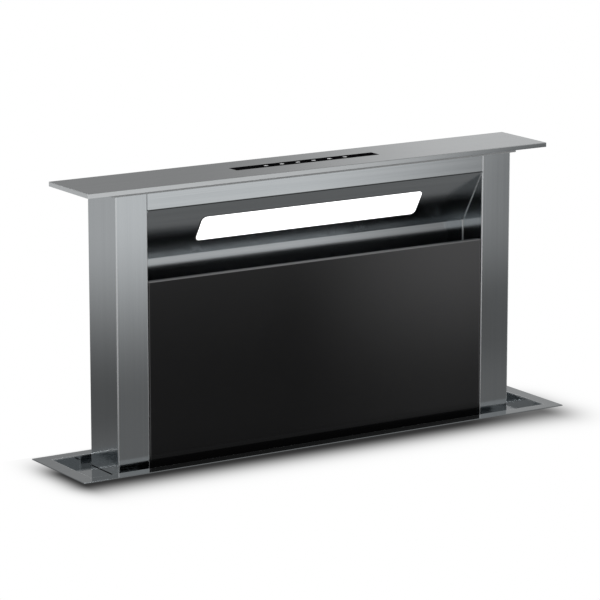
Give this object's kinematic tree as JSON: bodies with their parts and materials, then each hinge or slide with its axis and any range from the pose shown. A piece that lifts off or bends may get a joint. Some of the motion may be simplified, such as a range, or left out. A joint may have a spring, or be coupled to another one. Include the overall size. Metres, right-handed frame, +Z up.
{
  "type": "downdraft vent",
  "caption": "Worktop downdraft vent: a steel tower with a black glass front and a light rises out of a recessed flange over an under-counter blower.",
  "frame": {"origin": "on the worktop, at the middle of the flange's underside", "axes": "+Z up out of the worktop, +X to the right along the flange seen from the cook's side, +Y away from the cook"},
  "size_m": [0.953, 0.3184, 1.1663],
  "materials": {
    "brushed_steel": "brushed",
    "black_glass": "gloss",
    "galvanised_steel": "satin",
    "bright_steel": "satin",
    "black_rubber": "matt",
    "opal_plastic": "satin",
    "circuit_board": "satin",
    "black_plastic": "satin",
    "white_acetal": "satin",
    "aluminium": "satin",
    "bronze": "satin",
    "motor_steel": "satin"
  },
  "bodies": {
    "housing": {"worktop_flange": "brushed_steel", "tower_wiper": "black_rubber", "left_side_panel": "galvanised_steel", "right_side_panel": "galvanised_steel", "front_panel": "galvanised_steel", "back_panel": "galvanised_steel", "bottom_pan": "galvanised_steel", "flange_nuts": "bright_steel", "guide_rails": "bright_steel", "lift_belts": "black_rubber", "idler_pins": "bright_steel", "shaft_bushes": "bronze", "lift_gearbox": "aluminium", "lift_motor": "motor_steel", "blower_box": "galvanised_steel", "fan_scroll": "galvanised_steel", "inlet_ring": "galvanised_steel", "fan_motor": "motor_steel", "run_capacitor": "aluminium", "outlet_collar": "galvanised_steel", "damper_pin": "bright_steel", "control_box": "black_plastic", "control_lid": "black_plastic", "cable_gland": "black_plastic", "floor_brackets": "galvanised_steel", "bracket_bolts": "bright_steel"},
    "tower": {"cap_plate": "brushed_steel", "cap_base": "galvanised_steel", "cap_seal": "black_rubber", "touch_glass": "black_glass", "touch_board": "circuit_board", "touch_carrier": "black_plastic", "left_column": "brushed_steel", "right_column": "brushed_steel", "light_fascia": "brushed_steel", "intake_back_wall": "brushed_steel", "rear_panel": "brushed_steel", "lower_panel": "brushed_steel", "carriage_frame": "galvanised_steel", "light_diffuser": "opal_plastic", "light_box": "galvanised_steel", "led_board": "circuit_board", "glass_pins": "bright_steel", "left_grease_filter": "aluminium", "right_grease_filter": "aluminium", "grease_tray": "galvanised_steel", "guide_shoes": "white_acetal", "belt_clamps": "aluminium"},
    "front_glass": {"glass_panel": "black_glass", "glass_frame": "galvanised_steel", "glass_hooks": "galvanised_steel"},
    "left_latch": {"left_filter_latch": "galvanised_steel"},
    "right_latch": {"right_filter_latch": "galvanised_steel"},
    "lift_shaft": {"drive_shaft": "bright_steel", "drive_pulleys": "aluminium"},
    "idlers": {"idler_pulleys": "black_plastic"},
    "fan": {"fan_wheel": "black_plastic", "fan_shaft": "bright_steel"},
    "front_flap": {"front_damper_flap": "galvanised_steel"},
    "rear_flap": {"rear_damper_flap": "galvanised_steel"}
  },
  "joints": [
    {"name": "tower_lift", "type": "slide", "parent": "housing", "child": "tower", "axis": [0, 0, 1], "range_m": [-0.4635, 0]},
    {"name": "front_glass_lift_off", "type": "slide", "parent": "tower", "child": "front_glass", "axis": [0, 0, 1], "range_m": [0, 0.012]},
    {"name": "left_latch_pull", "type": "slide", "parent": "tower", "child": "left_latch", "axis": [0, 0, -1], "range_m": [0, 0.005], "stiffness_N_per_m": 200, "springref_m": -0.003},
    {"name": "right_latch_pull", "type": "slide", "parent": "tower", "child": "right_latch", "axis": [0, 0, -1], "range_m": [0, 0.005], "stiffness_N_per_m": 200, "springref_m": -0.003},
    {"name": "lift_shaft_spin", "type": "hinge", "parent": "housing", "child": "lift_shaft", "pos_m": [0, -0.022, -0.6203], "axis": [1, 0, 0], "continuous": true},
    {"name": "idler_spin", "type": "hinge", "parent": "housing", "child": "idlers", "pos_m": [0, -0.022, -0.0358], "axis": [1, 0, 0], "continuous": true},
    {"name": "fan_spin", "type": "hinge", "parent": "housing", "child": "fan", "pos_m": [0, -0.1569, -0.4163], "axis": [0, 1, 0], "continuous": true},
    {"name": "front_flap_swing", "type": "hinge", "parent": "housing", "child": "front_flap", "pos_m": [0.204, -0.1409, -0.3253], "axis": [0, 0, 1], "range_deg": [0, 75], "stiffness_Nm_per_rad": 0.02, "springref_deg": -5.73},
    {"name": "rear_flap_swing", "type": "hinge", "parent": "housing", "child": "rear_flap", "pos_m": [0.204, -0.1409, -0.3253], "axis": [0, 0, -1], "range_deg": [0, 75], "stiffness_Nm_per_rad": 0.02, "springref_deg": -5.73}
  ],
  "couplings": [
    {"joint": "lift_shaft_spin", "follows": "tower_lift", "rad_per_m": -75.758},
    {"joint": "idler_spin", "follows": "tower_lift", "rad_per_m": -75.758}
  ]
}
